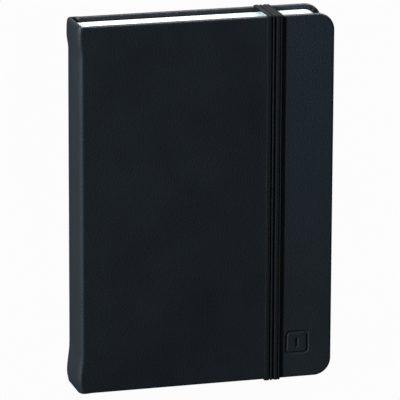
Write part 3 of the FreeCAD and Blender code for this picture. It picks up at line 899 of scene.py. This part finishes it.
def build_band():
    """Strand on the front, a leg over head and tail, and two runs down the back into their slots."""
    front, back = FRONT_LINE + BAND_BEND, BACK_LINE - BAND_BEND
    low, high = TAIL_LINE + BAND_BEND, HEAD_LINE - BAND_BEND
    strand_path = np.concatenate([bend(front, low, 270, 180),
                                  run((FRONT_LINE, low), (FRONT_LINE, high), (-1, 0), 60),
                                  bend(front, high, 180, 90)])
    strand = band_piece("elastic_front", strand_path)
    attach(strand, "elastic_band")
    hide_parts("elastic_strand")
    for end, line, inner, facing in (("tail", TAIL_LINE, low, -1.0), ("head", HEAD_LINE, high, 1.0)):
        leg_path = np.concatenate([[[front, line, 0, facing]],
                                   run((front, line), (back, line), (0, facing), 24),
                                   [[back, line, 0, facing]]])
        leg = band_piece(f"elastic_{end}", leg_path)
        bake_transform(leg)
        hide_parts(f"elastic_{end}_leg")
        slot_z = inner - facing * SLOT_RUN
        corner = bend(back, inner, 90 * facing, 0)
        angle = np.radians(np.linspace(0, 70, 6))
        dive = np.stack([BACK_LINE - DIVE_RADIUS * (1 - np.cos(angle)),
                         slot_z - facing * DIVE_RADIUS * np.sin(angle),
                         np.cos(angle), -facing * np.sin(angle)], 1)
        anchor_path = np.concatenate([corner, run((BACK_LINE, inner), (BACK_LINE, slot_z), (1, 0), 12), dive])
        anchor = band_piece(f"elastic_{end}_end", anchor_path)
        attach(anchor, "back_half")
        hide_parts(f"elastic_{end}_anchor")


build_band()


# ---------------------------------------------------------------- covers on their bodies

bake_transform(back_skin)
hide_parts("back_cover_leather", "back_joint_leather")
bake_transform(shoulder_skin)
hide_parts("spine_leather", "front_joint_leather")
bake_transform(front_skin)
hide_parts("front_cover_leather")

for material, nodes in ((BOARD, ("front_board", "back_board", "spine_strip")),
                        (ENDPAPER, ("front_pastedown", "back_pastedown", "front_flyleaf", "back_flyleaf")),
                        (POCKET_PAPER, ("pocket_panel",)),
                        (POCKET_CLOTH, ("pocket_head_gusset", "pocket_tail_gusset")),
                        (THREAD, ("front_sewing_thread", "rear_sewing_thread"))):
    for node in nodes:
        for material_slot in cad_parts[node].material_slots:
            material_slot.material = material


# ---------------------------------------------------------------- floor, lights and camera

def build_floor():
    """A dark floor that is nearly white to the camera, so that it runs into the white around it."""
    half = 3.0
    mesh = bpy.data.meshes.new("floor")
    corners = [(-half, -half, 0), (half, -half, 0), (half, half, 0), (-half, half, 0)]
    mesh.from_pydata(corners, [], [(0, 1, 2, 3)])
    floor = bpy.data.objects.new("floor", mesh)
    bpy.context.scene.collection.objects.link(floor)
    material, tree, shader, _ = new_material("pale_floor", 0.9, 0.1)
    shader.inputs["Base Color"].default_value = (0.04, 0.04, 0.04, 1)
    bright = add_node(tree, "ShaderNodeEmission", {"Color": (1, 1, 1, 1), "Strength": 1.0})
    seen = tree.nodes.new("ShaderNodeLightPath")
    mixed = tree.nodes.new("ShaderNodeMixShader")
    tree.links.new(math_node(tree, "MULTIPLY", seen.outputs["Is Camera Ray"], 0.97), mixed.inputs[0])
    tree.links.new(shader.outputs[0], mixed.inputs[1])
    tree.links.new(bright.outputs[0], mixed.inputs[2])
    tree.links.new(mixed.outputs[0], tree.nodes["Material Output"].inputs["Surface"])
    mesh.materials.append(material)


def build_world():
    """White studio to the camera, a dimmer even light to everything else."""
    world = bpy.data.worlds.new("studio")
    world.use_nodes = True
    tree = world.node_tree
    fill = tree.nodes["Background"]
    fill.inputs["Color"].default_value = (0.80, 0.90, 1.0, 1)
    fill.inputs["Strength"].default_value = 0.04
    white = add_node(tree, "ShaderNodeBackground", {"Color": (1, 1, 1, 1), "Strength": 1.0})
    seen = tree.nodes.new("ShaderNodeLightPath")
    mixed = tree.nodes.new("ShaderNodeMixShader")
    tree.links.new(seen.outputs["Is Camera Ray"], mixed.inputs[0])
    tree.links.new(fill.outputs[0], mixed.inputs[1])
    tree.links.new(white.outputs[0], mixed.inputs[2])
    tree.links.new(mixed.outputs[0], tree.nodes["World Output"].inputs["Surface"])
    bpy.context.scene.world = world


def add_softbox(name, place, target, size, power, color):
    """A rectangular area light at a place, turned to a target."""
    light = bpy.data.lights.new(name, "AREA")
    light.shape = "RECTANGLE"
    light.size, light.size_y = size
    light.energy = power
    light.color = color
    lamp = bpy.data.objects.new(name, light)
    lamp.location = place
    lamp.rotation_euler = (Vector(target) - Vector(place)).to_track_quat("-Z", "Y").to_euler()
    bpy.context.scene.collection.objects.link(lamp)


def build_camera():
    """A long lens from the front left and above, aimed at the middle of the front cover."""
    turn, lift, roll = math.radians(15.866), math.radians(15.366), math.radians(-0.257)
    distance = 1.700
    aim = Vector((SPINE_FACE + 55 * MM, FRONT_FACE + 8.5 * MM, TAIL + 75 * MM))
    away = Vector((-math.sin(turn) * math.cos(lift), -math.cos(turn) * math.cos(lift), math.sin(lift)))
    level = Vector((math.cos(turn), -math.sin(turn), 0))
    above = away.cross(level)
    right = math.cos(roll) * level - math.sin(roll) * above
    up = math.sin(roll) * level + math.cos(roll) * above
    lens = bpy.data.cameras.new("camera")
    lens.sensor_width = 36.0
    lens.lens = 383.4
    lens.shift_x = -0.0203
    lens.shift_y = -0.0040
    camera = bpy.data.objects.new("camera", lens)
    turned = Matrix((right, up, away)).transposed().to_4x4()
    camera.matrix_world = Matrix.Translation(aim + distance * away) @ turned
    bpy.context.scene.collection.objects.link(camera)
    bpy.context.scene.camera = camera


build_floor()
build_world()
add_softbox("key_left", (-1.36, -0.45, 0.75), (0, 0, 0.08), (0.12, 0.6), 68.0, (0.72, 0.88, 1.0))
add_softbox("back_right", (1.0, 0.85, 1.45), (0, 0, 0.08), (0.6, 0.6), 42.0, (0.86, 0.94, 1.0))
add_softbox("top", (0.1, 0.3, 1.4), (0, 0, 0.08), (0.8, 0.8), 10.0, (1.0, 0.99, 0.97))
build_camera()
bpy.context.scene.view_settings.view_transform = "Standard"
